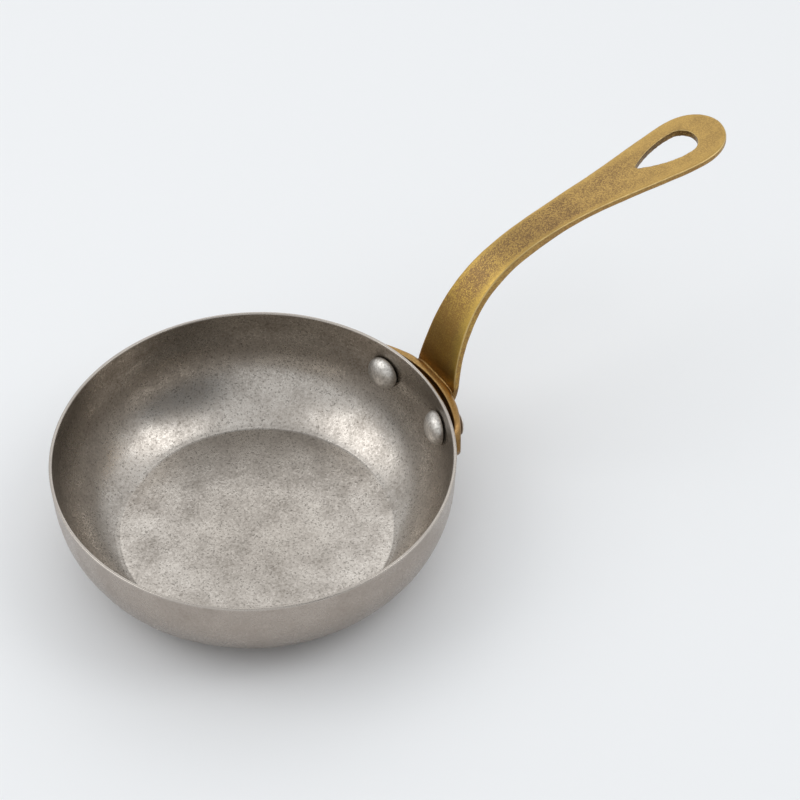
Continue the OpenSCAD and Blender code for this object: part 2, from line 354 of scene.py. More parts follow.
def cut(piece, tool_mesh):
    """Cuts a closed mesh out of a piece."""
    tool = show("cutter", tool_mesh)
    applied(piece, "BOOLEAN", operation="DIFFERENCE", solver="EXACT", object=tool)
    bpy.data.objects.remove(tool)


def settle(piece, material, node):
    """Brings a finished piece to metres, with its material, its node and its body."""
    for vertex in piece.data.vertices:
        vertex.co /= MM
    for face in piece.data.polygons:
        face.use_smooth = True
    piece.data.materials.clear()
    piece.data.materials.append(material)
    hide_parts(node)
    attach(piece, "root")


class Wall:
    """The section of the pan's wall in millimetres: a straight part over an arc to the base."""

    STEPS = 44
    CROWDING = 1.35  # Above 1, the points crowd towards the foot, where the wall bends.

    def __init__(self, pan):
        self.rim_r = pan.rim_d / 2
        self.height = pan.height
        self.sheet = pan.sheet
        self.base_r = self.rim_r - pan.wall_run
        self.bend_r = pan.bend_r
        self.lean = pan.lean
        rim = Vector((self.rim_r, self.height))
        up = Vector((math.sin(self.lean), math.cos(self.lean)))
        inward = Vector((-up.y, up.x))
        reach = rim + self.bend_r * inward - Vector((self.base_r, 0))
        along = reach.dot(up)
        straight = along - math.sqrt(along**2 - reach.length_squared + self.bend_r**2)
        self.bend_top = rim - straight * up
        self.centre = self.bend_top + self.bend_r * inward

    def radius(self, z, inset=0.0):
        """Radius at a height of the face that lies inset within the outer face."""
        if z > self.bend_top.y:
            upright = self.rim_r - (self.height - z) * math.tan(self.lean)
            return upright - inset / math.cos(self.lean)
        return self.centre.x + math.sqrt((self.bend_r - inset) ** 2 - (self.centre.y - z) ** 2)

    def tilt(self, z):
        """Lean of the wall from the upright at a height."""
        return self.lean if z > self.bend_top.y else math.asin((self.centre.y - z) / self.bend_r)

    def rise(self, inset, foot, top):
        """(radius, height) points up the wall from one height to another."""
        shares = [(k / self.STEPS) ** self.CROWDING for k in range(self.STEPS + 1)]
        heights = [foot + (top - foot) * share for share in shares]
        return [(self.radius(z, inset), z) for z in heights]


class RivetPlace:
    """Where a rivet stands, in millimetres. side is 1 on the left and -1 on the right."""

    HOLE_SIDES = 48
    HOLE_START = -4  # A hole starts this far from the wall's outer face, inside the pan.

    def __init__(self, wall, rivets, side):
        z = wall.height - rivets.drop
        seat_r = wall.radius(z)
        turn = side * math.asin(rivets.span / 2 / seat_r)
        tilt = wall.tilt(z)
        flat = math.cos(tilt)
        self.seat = Vector((seat_r * math.cos(turn), seat_r * math.sin(turn), z))
        self.out = Vector((flat * math.cos(turn), flat * math.sin(turn), -math.sin(tilt)))
        self.hole_r = rivets.shank_d / 2 + rivets.hole_gap

    def stood(self, mesh):
        """The mesh with its Z axis along the shank, outward from the wall's outer face."""
        mesh.transform(Vector((0, 0, 1)).rotation_difference(self.out).to_matrix().to_4x4())
        for vertex in mesh.vertices:
            vertex.co += self.seat
        return mesh

    def bore(self, piece, end):
        """Cuts the shank's hole through a piece, up to a distance outside the wall."""
        around = [(math.cos(a), math.sin(a)) for a in arc(0, 360, self.HOLE_SIDES)[:-1]]
        rings = [
            [(self.hole_r * cos, self.hole_r * sin, z) for cos, sin in around]
            for z in (self.HOLE_START, end)
        ]
        cut(piece, self.stood(skin("hole", rings)))


class OMELETTE_PAN_OT_body(bpy.types.Operator):
    """Spins up the pressed body, with its rounded rim, drawn rivet seats and unevenness"""

    bl_idname = "omelette_pan.body"
    bl_label = "Pan body"
    TURNS = 300
    FLOOR_RINGS = 40
    # From a rounded corner to the next point of its outline, on the wall, the floor and the rim.
    WALL_LEG, FLOOR_LEG, RIM_LEG = 6.0, 4, 2
    # Where the plain rings of the floor and the wall stop before a rounding.
    FLOOR_CLEAR, RIM_CLEAR = 0.5, 1.2
    LUMPS = (17, 3, 1), (8, 5, 0.45)
    DIMPLE_R, DIMPLE_REACH = 8.5, 30
    HOLE_END = 3

    def execute(self, context):
        pan, rivets, _ = sizes(context.scene)
        wall = Wall(pan)
        places = [RivetPlace(wall, rivets, side) for side in (-1, 1)]
        piece = show("pan_shell", lathe("pan_shell", self.profile(pan, wall), self.TURNS))
        self.work(piece.data, pan, wall, places)
        for place in places:
            place.bore(piece, self.HOLE_END)
        settle(piece, tumbled_steel(context.scene.finishes, wall), "pan_body")
        return {"FINISHED"}

    def profile(self, pan, wall):
        """The section, from the middle of the underside up the outside and down the inside."""
        sheet, top = wall.sheet, wall.height
        foot = wall.radius(sheet + pan.dish, sheet)

        def on_floor(r):
            """The floor's point at a radius. The floor rises towards the foot of the wall."""
            return r, sheet + pan.dish * max(1 - (foot - r) / pan.dish_width, 0) ** 2

        leg, rim_leg = self.WALL_LEG, top - self.RIM_LEG
        corners = [(0, 0, 0), (wall.base_r, 0, pan.crease_round), (wall.radius(leg), leg, 0)]
        outside = rounded(corners)[1:-1]
        corners = [(wall.radius(leg, sheet), leg, 0), (*on_floor(foot), pan.crease_round)]
        inside = rounded([*corners, (*on_floor(foot - self.FLOOR_LEG), 0)])[1:-1]
        corners = [(wall.radius(rim_leg), rim_leg, 0), (wall.rim_r, top, pan.rim_round)]
        corners += [(wall.radius(top, sheet), top, pan.rim_round)]
        rim = rounded([*corners, (wall.radius(rim_leg, sheet), rim_leg, 0)])[1:-1]
        across = [wall.base_r * k / self.FLOOR_RINGS for k in range(self.FLOOR_RINGS)]
        stop, ends = top - self.RIM_CLEAR, (outside[0][0], inside[-1][0])
        under, above = [[r for r in across if r < end - self.FLOOR_CLEAR] for end in ends]
        profile = [(r, 0.0) for r in under] + outside
        profile += wall.rise(0.0, outside[-1][1], stop)[1:] + rim
        profile += wall.rise(sheet, inside[0][1], stop)[:0:-1] + inside
        return profile + [on_floor(r) for r in reversed(above)]

    def work(self, mesh, pan, wall, places):
        """Draws the sheet in round the rivets, makes it uneven and marks its inside."""
        middle = wall.sheet / 2
        inside = []
        for vertex in mesh.vertices:
            co = vertex.co
            r = co.xy.length
            inside.append(float(co.z > middle and r < wall.radius(co.z, middle)))
            out = Vector((co.x, co.y, 0)).normalized()
            side = ease(wall.base_r - 4, wall.base_r + 6, r)
            rimward = 1 - 0.75 * ease(wall.height - 9, wall.height, co.z)
            off_table = ease(0.2, 0.9, co.z)
            shift = uneven(co, *self.LUMPS) * pan.waviness
            for place in places:
                gap = co - place.seat
                if gap.length < self.DIMPLE_REACH:
                    aside = (gap - gap.dot(place.out) * place.out).length
                    shift += pan.rivet_dimple * math.exp(-((aside / self.DIMPLE_R) ** 2)) * side
            vertex.co += out * shift * side * rimward
            vertex.co.z += (1 - side) * off_table * 0.5 * shift
        mesh.attributes.new("inside", "FLOAT", "POINT").data.foreach_set("value", inside)


class OMELETTE_PAN_OT_rivets(bpy.types.Operator):
    """Makes the two rivets, each with a hammered domed head inside and a low domed end outside"""

    bl_idname = "omelette_pan.rivets"
    bl_label = "Rivets"
    TURNS = 72
    HEAD_STEPS, TAIL_STEPS = 16, 10
    FULLNESS = 0.95  # Below 1, the head is fuller than half an ellipse.
    SINK = 0.1  # Depth of the head's edge below the curved wall's face.
    TAIL_LIP = 0.3  # Height of the edge of the end outside.

    def execute(self, context):
        pan, rivets, handle = sizes(context.scene)
        wall = Wall(pan)
        flange = Flange(handle, wall, rivets)
        material = tumbled_rivet(context.scene.finishes)
        head_r = rivets.head_d / 2
        seat = -wall.sheet - head_r**2 / (2 * (wall.bend_r - wall.sheet)) + self.SINK
        for name, side, seed in (("rivet_left", 1, 11), ("rivet_right", -1, 23)):
            place = RivetPlace(wall, rivets, side)
            tail_seat = flange.along_shank(place)
            mesh = lathe(name, self.profile(rivets, seat, tail_seat), self.TURNS)
            self.hammer(mesh, rivets.hammering, seat, tail_seat, seed)
            settle(show(name + "_forged", place.stood(mesh)), material, name)
        return {"FINISHED"}

    def profile(self, rivets, seat, tail_seat):
        """The section, from the top of the head along the shank to the end outside."""
        head_r, tail_r, shank_r = rivets.head_d / 2, rivets.tail_d / 2, rivets.shank_d / 2
        lip, tail_top = rivets.head_edge, tail_seat + self.TAIL_LIP
        domed, tail_domed = rivets.head_h - lip, rivets.tail_h - self.TAIL_LIP
        profile = [
            (head_r * math.cos(a), seat - lip - domed * math.sin(a) ** self.FULLNESS)
            for a in arc(90, 0, self.HEAD_STEPS)
        ]
        # The broken edge under the head, the shank with its fillet and the outside end's edge.
        profile += [(head_r - 0.1, seat - 0.15), (head_r - 0.45, seat), (shank_r + 0.5, seat)]
        profile += [(shank_r, seat + 0.4), (shank_r, tail_seat - 0.3)]
        profile += [(tail_r - 0.4, tail_seat + 0.05), (tail_r, tail_top)]
        dome = arc(0, 90, self.TAIL_STEPS)[1:]
        return profile + [
            (tail_r * math.cos(a), tail_top + tail_domed * math.sin(a)) for a in dome
        ]

    def hammer(self, mesh, depth, seat, tail_seat, seed):
        """Dents the two ends and puts them a little out of round. The shank stays true."""
        for vertex in mesh.vertices:
            co = vertex.co.copy()
            if co.z < seat - 0.1 or co.z > tail_seat + 0.4:
                dent = uneven(co, (3.4, seed, 1), (1.6, seed + 2, 0.4))
                vertex.co += co.normalized() * dent * depth
                vertex.co.xy *= 1 + 0.02 * uneven(co, (6.0, seed + 5, 1))


class Flange:
    """The flange's faces in millimetres, on cylinders of their own about upright axes."""

    RINGS, INNER_STEPS = 140, 10
    END = 0.9999  # The end rings stop just short of the tips, where the flange has no height.
    DRAWN = 12, 22  # Between these places, left of the middle, the ear is dressed back.
    INNER_EDGE = 0.5
    UNDER_SHARE = 0.6  # The lower outer edge's radius, as a share of the upper one's.
    SHANK_STEP = 0.02

    def __init__(self, handle, wall, rivets):
        self.wall = wall
        self.gap = handle.seat_gap
        seat_r = wall.radius(wall.height - rivets.drop)
        turn = math.asin(rivets.span / 2 / seat_r)
        self.face = seat_r + handle.flange_stand
        self.top = wall.height - handle.flange_drop
        self.bottom = self.top - handle.flange_h
        self.half_w = handle.flange_w / 2
        self.ear_r = handle.ear_r
        self.ear_draw = handle.ear_draw
        self.edge = handle.flange_edge
        self.r = handle.flange_r
        self.axis = self.face - self.r
        self.hollow_r = handle.hollow_r
        self.hollow_axis = self.face - handle.ledge - self.hollow_r
        self.slope_foot = self.top - handle.hollow_slope
        self.low_r = math.hypot(seat_r * math.cos(turn) - self.hollow_axis, seat_r * math.sin(turn))

    def outer(self, y):
        """x of the outer face at a place across the flange."""
        drawn = self.ear_draw * ease(*self.DRAWN, y)
        return self.axis + math.sqrt(self.r**2 - y * y) - drawn

    def inner(self, y, z):
        """x of the inner face, on the hollow or the pan's wall, whichever is further out."""
        slope = ease(self.slope_foot, self.top, z)
        r = self.low_r + (self.hollow_r - self.low_r) * slope
        hollow = self.hollow_axis + math.sqrt(r * r - y * y)
        against = math.sqrt((self.wall.radius(z) + self.gap) ** 2 - y * y)
        return max(hollow, against)

    def ear(self, y):
        """Lowest and highest point of the flange at a place across it."""
        over = max(abs(y) - self.half_w + self.ear_r, 0.0)
        drop = self.ear_r - math.sqrt(max(self.ear_r**2 - over**2, 0.0))
        return self.bottom + drop, self.top - drop

    def along_shank(self, place):
        """Distance from the wall's outer face to the flange's outer face along a rivet's shank."""
        d = 0.0
        while True:
            at = place.seat + d * place.out
            if at.x >= self.outer(at.y):
                return d
            d += self.SHANK_STEP

    def mesh(self):
        """The flange as a closed mesh, of upright sections from the right ear to the left."""
        rings = []
        for k in range(self.RINGS + 1):
            y = -self.half_w * math.cos(math.pi * k / self.RINGS) * self.END
            low, high = self.ear(y)
            tall = high - low
            heights = [low + tall * i / self.INNER_STEPS for i in range(self.INNER_STEPS, -1, -1)]
            inner = [(self.inner(y, z), z) for z in heights]
            edge = min(self.edge, 0.4 * tall)
            corners = [
                (self.outer(y), low, edge * self.UNDER_SHARE),
                (self.outer(y), high, edge),
                (inner[0][0], high, min(self.INNER_EDGE, 0.2 * tall)),
            ]
            corners += [(x, z, 0) for x, z in inner[1:]]
            rings.append([(x, y, z) for x, z in rounded(corners)])
        return skin("flange", rings)


class Bar:
    """The handle's bar in millimetres, swept along one smooth curve in the upright middle plane."""

    ROOT_SLOPE = math.radians(80)
    TIP_SLOPE = math.radians(9)
    ROOT_FALLOFF = 1.85
    TIP_FALLOFF = 2.2
    TIP_FULLNESS = 1.5
    TIP_ROUNDNESS = 2.55
    TIP_FROM = 0.86  # Beyond this share of the curve the rings crowd towards the tip.
    STEPS = 400
    TOE_RINGS, BAR_RINGS, TIP_RINGS, EDGE_STEPS = 10, 110, 40, 7
    TOE_END_T = 0.8  # Thickness of the toe's end.
    EYE_ABOVE, EYE_BELOW = 4.0, -8.0  # Ends of the prism that cuts the eye.

    def __init__(self, handle, wall, flange):
        self.sizes = handle
        root = Vector((flange.face - handle.set_in, flange.top))
        tip = Vector((wall.rim_r + handle.reach, wall.height + handle.rise))
        self.root_dir = Vector((math.cos(self.ROOT_SLOPE), math.sin(self.ROOT_SLOPE)))
        tip_dir = Vector((math.cos(self.TIP_SLOPE), math.sin(self.TIP_SLOPE)))
        steep_end = root + handle.root_pull * self.root_dir
        self.curve = [root, steep_end, tip - handle.tip_pull * tip_dir, tip]
        self.points = [self.at(k / self.STEPS) for k in range(self.STEPS + 1)]
        self.lengths = [0.0]
        for before, after in zip(self.points, self.points[1:]):
            self.lengths.append(self.lengths[-1] + (after - before).length)
        self.long = self.lengths[-1]

    def at(self, t):
        """Point of the curve, which is a cubic from the root at 0 to the tip at 1."""
        a, b, c, d = self.curve
        s = 1 - t
        return s**3 * a + 3 * s * s * t * b + 3 * s * t * t * c + t**3 * d

    def slope(self, t):
        """Slope of the curve."""
        a, b, c, d = self.curve
        s = 1 - t
        way = s * s * (b - a) + 2 * s * t * (c - b) + t * t * (d - c)
        return math.atan2(way.y, way.x)

    def length_to(self, t):
        """Length of the curve up to t."""
        i = min(int(t * self.STEPS), self.STEPS - 1)
        return self.lengths[i] + (t * self.STEPS - i) * (self.lengths[i + 1] - self.lengths[i])

    def width(self, along):
        """Width at a length. It narrows to the neck, widens towards the tip and rounds off."""
        h = self.sizes
        if along < h.neck_at:
            share = (1 - along / h.neck_at) ** self.ROOT_FALLOFF
            return h.neck_w + (h.root_w - h.neck_w) * share
        if along < self.long - h.wide_at:
            x = (along - h.neck_at) / (self.long - h.wide_at - h.neck_at)
            share = (1 - x**self.TIP_FALLOFF) ** self.TIP_FULLNESS
            return h.tip_w - (h.tip_w - h.neck_w) * share
        x = min((along - self.long + h.wide_at) / h.wide_at, 1.0)
        return h.tip_w * math.sqrt(max(1 - x**self.TIP_ROUNDNESS, 1e-5))

    def thickness(self, along):
        """Thickness at a length: greatest at the neck and even over the flat tip."""
        h = self.sizes
        if along < h.neck_at:
            return h.root_t + (h.neck_t - h.root_t) * ease(0, h.neck_at, along)
        thinned = ease(h.neck_at, self.long - h.flat_tip, along)
        return h.neck_t + (h.tip_t - h.neck_t) * thinned

    def ring(self, point, slope, w, t):
        """A section across the bar: its rounded rectangle reaches down from the front face."""
        most = 0.45 * min(w, t)
        top, under = min(self.sizes.edge_top, most), min(self.sizes.edge_under, most)
        corners = [(w / 2, 0, top), (-w / 2, 0, top), (-w / 2, t, under), (w / 2, t, under)]
        return [
            (point.x + q * math.sin(slope), y, point.y - q * math.cos(slope))
            for y, q in rounded(corners, self.EDGE_STEPS)
        ]

    def mesh(self):
        """The bar as a closed mesh, from the toe's end, below the ledge, to the tip."""
        rings = []
        h = self.sizes
        for k in range(self.TOE_RINGS, 0, -1):
            x = k / self.TOE_RINGS
            point = self.curve[0] - x * h.toe * self.root_dir
            t = self.TOE_END_T + (h.root_t - self.TOE_END_T) * math.sqrt(1 - x * x)
            rings.append(self.ring(point, self.ROOT_SLOPE, h.root_w, t))
        ends = [k / self.BAR_RINGS * self.TIP_FROM for k in range(self.BAR_RINGS)]
        ends += [
            self.TIP_FROM + (1 - self.TIP_FROM) * math.sin(math.pi / 2 * k / self.TIP_RINGS)
            for k in range(self.TIP_RINGS)
        ]
        for t in ends:
            along = self.length_to(t)
            across = self.width(along), self.thickness(along)
            rings.append(self.ring(self.at(t), self.slope(t), *across))
        return skin("bar", rings)

    def back_from_tip(self, distance):
        """The curve's point that lies this far from the tip."""
        tip = self.points[-1]
        return next(p for p in reversed(self.points) if (tip - p).length >= distance)

    def eye(self):
        """The eye's outline as a closed prism that cuts through the bar."""
        h = self.sizes
        r, point_r, long = h.eye_r, h.eye_point, h.eye_l
        round_end = self.back_from_tip(h.eye_rim + r)
        narrow = self.back_from_tip(h.eye_rim + long - point_r)
        slope = math.atan2(round_end.y - narrow.y, round_end.x - narrow.x)
        run = long - r - point_r
        side_r = (run**2 + r**2 - point_r**2) / (2 * (r - point_r))
        turn = math.degrees(math.asin(run / (side_r - point_r)))
        # The round end, one side, the narrow end and the other side, each from the last one's end.
        outline = []
        for cx, cy, radius, start, stop, steps in (
            (0, 0, r, -90, 90, 24),
            (0, r - side_r, side_r, 90, 90 + turn, 24),
            (-run, 0, point_r, 90 + turn, 270 - turn, 8),
            (0, side_r - r, side_r, 270 - turn, 270, 24),
        ):
            angles = arc(start, stop, steps)[1 if outline else 0 :]
            outline += [(cx + radius * math.cos(a), cy + radius * math.sin(a)) for a in angles]
        outline.pop()
        (x0, z0), cos, sin = round_end, math.cos(slope), math.sin(slope)
        rings = [
            [(x0 + x * cos - q * sin, y + h.eye_shift, z0 + x * sin + q * cos) for x, y in outline]
            for q in (self.EYE_ABOVE, self.EYE_BELOW)
        ]
        return skin("eye", rings)


class OMELETTE_PAN_OT_handle(bpy.types.Operator):
    """Makes the cast handle in one piece: flange, ears, bar and hanging eye, softly filleted"""

    bl_idname = "omelette_pan.handle"
    bl_label = "Handle"
    VOXEL = 0.28
    SMOOTHING, CORNER_SMOOTHING = 3, 30
    HOLE_SPARE = 4  # How far a hole's cutter reaches past the flange.
    LUMPS = (11, 31, 1), (4.5, 37, 0.5)
    PATINAS = "brown", "deep", "shade_and_grime", "olive", "tarnish", "rubbed"

    def execute(self, context):
        pan, rivets, handle = sizes(context.scene)
        wall = Wall(pan)
        flange = Flange(handle, wall, rivets)
        bar = Bar(handle, wall, flange)
        piece = show("handle_casting", bar.mesh())
        cut(piece, bar.eye())
        whole = bmesh.new()
        whole.from_mesh(piece.data)
        whole.from_mesh(flange.mesh())
        whole.to_mesh(piece.data)
        whole.free()
        applied(piece, "REMESH", mode="VOXEL", voxel_size=self.VOXEL, adaptivity=0.0)
        self.soften(piece, bar, flange)
        for side in (-1, 1):
            place = RivetPlace(wall, rivets, side)
            place.bore(piece, flange.along_shank(place) + self.HOLE_SPARE)
        self.mark(piece.data, bar, flange, handle.cast_grain)
        settle(piece, cast_brass(context.scene.finishes), "handle")
        return {"FINISHED"}

    def recess(self, co, bar, flange):
        """1 in the corner between the bar's front and the ledge, and 0 away from it."""
        front, half_w = bar.curve[0].x, bar.width(0) / 2
        near = 1 - ease(0.8, 3.0, abs(co.z - flange.top))
        near *= ease(front - 2.6, front - 0.9, co.x)
        return near * (1 - ease(half_w - 1.5, half_w + 0.5, abs(co.y)))

    def soften(self, piece, bar, flange):
        """Rounds the casting: lightly everywhere, and more in the corner between bar and ledge."""
        corner = piece.vertex_groups.new(name="corner")
        for vertex in piece.data.vertices:
            near = self.recess(vertex.co, bar, flange)
            if near > 0:
                corner.add([vertex.index], near, "REPLACE")
        for times, group in ((self.SMOOTHING, ""), (self.CORNER_SMOOTHING, "corner")):
            applied(piece, "SMOOTH", factor=0.5, iterations=times, vertex_group=group)

    def mark(self, mesh, bar, flange, grain):
        """Stores how much of each patina, and of the painted shade, lies on each point, and adds
        the casting's unevenness.
        """
        tree = KDTree(len(bar.points))
        for i, p in enumerate(bar.points):
            tree.insert((p.x, 0, p.y), i)
        tree.balance()
        fields = {name: [] for name in self.PATINAS}
        normals = [v.normal.copy() for v in mesh.vertices]
        for vertex, normal in zip(mesh.vertices, normals):
            co = vertex.co
            i = tree.find((co.x, 0, co.z))[1]
            slope = bar.slope(i / bar.STEPS)
            along = bar.lengths[i] / bar.long
            across = co.y / (bar.width(bar.lengths[i]) / 2)
            facing = normal.z * math.cos(slope) - normal.x * math.sin(slope)
            on_bar = ease(flange.top - 0.6, flange.top + 1.2, co.z)
            patina = self.patina(along, across, facing, on_bar, normal)
            recess = self.recess(co, bar, flange)
            # In the corner between the bar and the ledge, the dark film is painted shade.
            patina["shade_and_grime"] = max(patina["shade_and_grime"], 0.35 * recess)
            patina["rubbed"] *= 1 - recess
            for name in self.PATINAS:
                fields[name].append(patina[name])
            vertex.co += normal * grain * uneven(co, *self.LUMPS)
        for name, values in fields.items():
            mesh.attributes.new(name, "FLOAT", "POINT").data.foreach_set("value", values)

    def patina(self, along, across, facing, on_bar, normal):
        """How the handle has darkened and been rubbed, from 0 to 1, with painted shade on the bar's
        sides, in the eye and on the flange's flanks. along runs from root to tip, across from -1 on
        the right to 1 on the left, and facing is 1 on the bar's front."""
        left_strip = ease(0.55, 0.95, across) * ease(0.12, 0.3, along)
        right_strip = ease(0.2 + 0.4 * ease(0.25, 0.4, along), 0.95, -across)
        # Hands have rubbed the bar more and more towards its tip.
        fade = 1 - 0.15 * ease(0.2, 0.5, along) - 0.25 * ease(0.5, 0.64, along)
        fade -= 0.35 * ease(0.68, 0.86, along)
        front = ease(0.5, 0.9, facing)
        # Off the front, on the bar's sides, brown and deep are painted shade as well as patina.
        brown = front * (1 - max(left_strip, right_strip)) * fade + (1 - front) * 0.9
        deep = (0.85 - 0.7 * right_strip) * (1 - ease(0.04, 0.32, along)) * front
        deep += (1 - front) * 0.35
        turned = 1 - facing
        rubbed = ease(0.06, 0.2, turned) * (1 - ease(0.4, 0.75, turned))
        # Painted shade darkens the eye's inner wall.
        in_eye = 1 - ease(0.3, 0.7, abs(facing))
        in_eye *= (1 - ease(0.75, 0.9, abs(across))) * ease(0.6, 0.65, along)
        low_left = front * (1 - ease(0.05, 0.3, along)) * ease(-0.5, 0.6, across)
        on_flange = 1 - on_bar
        # Painted shade, by facing, darkens the flange's upright and downward faces.
        flank = 1 - ease(0.25, 0.7, normal.z)
        return {
            "brown": brown * on_bar + on_flange * (0.15 + 0.8 * flank),
            "deep": deep * on_bar + on_flange * 0.4 * flank,
            "shade_and_grime": (0.85 * in_eye + 0.25 * low_left) * on_bar + on_flange * 0.5 * flank,
            "olive": (1 - ease(0.15, 0.45, along)) * on_bar,
            "tarnish": on_flange,
            "rubbed": rubbed * on_bar,
        }


def wire(tree, made, inputs):
    """Sets a node's inputs, in order or by name, to values or to other nodes' outputs."""
    for key, value in inputs.items() if isinstance(inputs, dict) else enumerate(inputs):
        if isinstance(value, bpy.types.NodeSocket):
            tree.links.new(value, made.inputs[key])
        else:
            made.inputs[key].default_value = value


def node(tree, kind, inputs=(), stops=(), **settings):
    """Adds a node with its inputs and settings, and gives its outputs. stops are the places and
    colours of a ramp."""
    made = tree.nodes.new("ShaderNode" + kind)
    for key, value in settings.items():
        setattr(made, key, value)
    if stops:
        ramp = made.color_ramp
        while len(ramp.elements) < len(stops):
            ramp.elements.new(1.0)
        for element, (place, shade) in zip(ramp.elements, stops):
            element.position = place
            element.color = (*shade, 1.0)
    wire(tree, made, inputs)
    return made.outputs


def fresh_material(name):
    """A new material, its node tree, its shader and the place of each point on the object."""
    made = bpy.data.materials.new(name)
    made.use_nodes = True
    tree = made.node_tree
    tree.nodes.clear()
    shader = node(tree, "BsdfPrincipled")[0]
    node(tree, "OutputMaterial", {"Surface": shader})
    return made, tree, shader.node, node(tree, "TexCoord")["Object"]


def tumbled_steel(finish, wall):
    """Stainless steel, pressed and then tumbled in stones: a satin grey with a fine light and
    dark grain, the light grains glossier, cloudy patches, small dark pits, and a middle of the
    floor that use has browned. High on the wall inside, painted shade makes the grey warmer and
    darker; the outside is plainer and warmer, and the cut rim is a plain grey."""
    made, tree, shader, where = fresh_material("tumbled_stainless_steel")
    up = node(tree, "SeparateXYZ", (where,))[2]
    level = node(tree, "VectorMath", (where, (1, 1, 0)), operation="MULTIPLY")[0]
    reach = node(tree, "VectorMath", (level,), operation="LENGTH")[1]
    inside = node(tree, "Attribute", attribute_name="inside")["Fac"]
    # The stones leave a grain of 0.1 to 0.2 mm. That is too fine to show, so it is drawn coarser.
    cells = node(tree, "TexVoronoi", {"Vector": where, "Scale": 1 / finish.grain})
    grain, pits = node(tree, "SeparateColor", (cells["Color"],))[:2]
    fractal = {"Vector": where, "Roughness": 0.6}
    mottle, cloud = [
        node(tree, "TexNoise", {**fractal, "Scale": 1 / size, "Detail": detail})[0]
        for size, detail in ((2.6 * finish.grain, 3.0), (finish.blotch, 4.0))
    ]
    tone = 0.0
    for pattern, share in ((grain, 0.13), (mottle, 0.33), (cloud, 0.54)):
        tone = node(tree, "Math", (pattern, share, tone), operation="MULTIPLY_ADD")[0]
    pits = node(tree, "Math", (cloud, 0.25, pits), operation="MULTIPLY_ADD")[0]
    # The first is painted shade high on the wall, and the second is the worn middle of the floor.
    high, worn, pits, outer, rim, rough = [
        node(tree, "MapRange", ranges)[0]
        for ranges in (
            (up, (wall.height - 22) / MM, (wall.height - 6) / MM, 0.0, 0.6),
            (reach, 36 / MM, 14 / MM, 0.0, 0.35),
            (pits, 1.0, 1.08, 0.0, 0.5),
            (inside, 0.0, 1.0, 0.7, 0.0),
            (up, (wall.height - 0.9) / MM, (wall.height - 0.3) / MM, 0.0, 0.8),
            (tone, 0.36, 0.64, 0.39, 0.22),
        )
    ]
    worn = node(tree, "Math", (worn, cloud), operation="MULTIPLY")[0]
    # Painted shade high on the wall, together with the real browning of the worn floor.
    shade_and_wear = node(tree, "Math", (high, worn), operation="MAXIMUM")[0]
    shade_and_wear, pits = [
        node(tree, "Math", (amount, inside), operation="MULTIPLY")[0] for amount in (shade_and_wear, pits)
    ]
    stops = (0.26, finish.steel_dark), (0.5, finish.steel_mid), (0.74, finish.steel_light)
    coat = node(tree, "ValToRGB", (tone,), stops)[0]
    for amount, shade, blend in (
        (shade_and_wear, finish.steel_warm, "MULTIPLY"),
        (pits, finish.steel_pit, "MIX"),
        (outer, finish.steel_outer, "MIX"),
        (rim, finish.steel_mid, "MIX"),
    ):
        mix = {FACTOR: amount, UNDER: coat, OVER: (*shade, 1.0)}
        coat = node(tree, "Mix", mix, data_type="RGBA", blend_type=blend)[MIXED]
    relief = node(tree, "Math", (cells["Distance"], 0.5, mottle), operation="MULTIPLY_ADD")[0]
    bump = node(tree, "Bump", {"Strength": 0.3, "Distance": 0.03 / MM, "Height": relief})[0]
    wire(tree, shader, {"Metallic": 1.0, "Base Color": coat, "Roughness": rough, "Normal": bump})
    return made


def tumbled_rivet(finish):
    """Steel rivets, hammered over and tumbled with the pan: a light grey, smoother where it is
    brighter, with dents that the hammer left."""
    made, tree, shader, where = fresh_material("hammered_steel_rivet")
    fractal = {"Vector": where, "Scale": 1 / (2 * finish.grain), "Detail": 3.0, "Roughness": 0.65}
    grain = node(tree, "TexNoise", fractal)[0]
    low, high = 0.36, 0.62  # Between these values the grain goes from dark to light.
    stops = (low, finish.rivet_dark), (high, finish.rivet_light)
    coat = node(tree, "ValToRGB", (grain,), stops)[0]
    rough = node(tree, "MapRange", (grain, low, high, 0.54, 0.42))[0]
    bump = node(tree, "Bump", {"Strength": 0.2, "Distance": 0.05 / MM, "Height": grain})[0]
    wire(tree, shader, {"Metallic": 1.0, "Base Color": coat, "Roughness": rough, "Normal": bump})
    return made


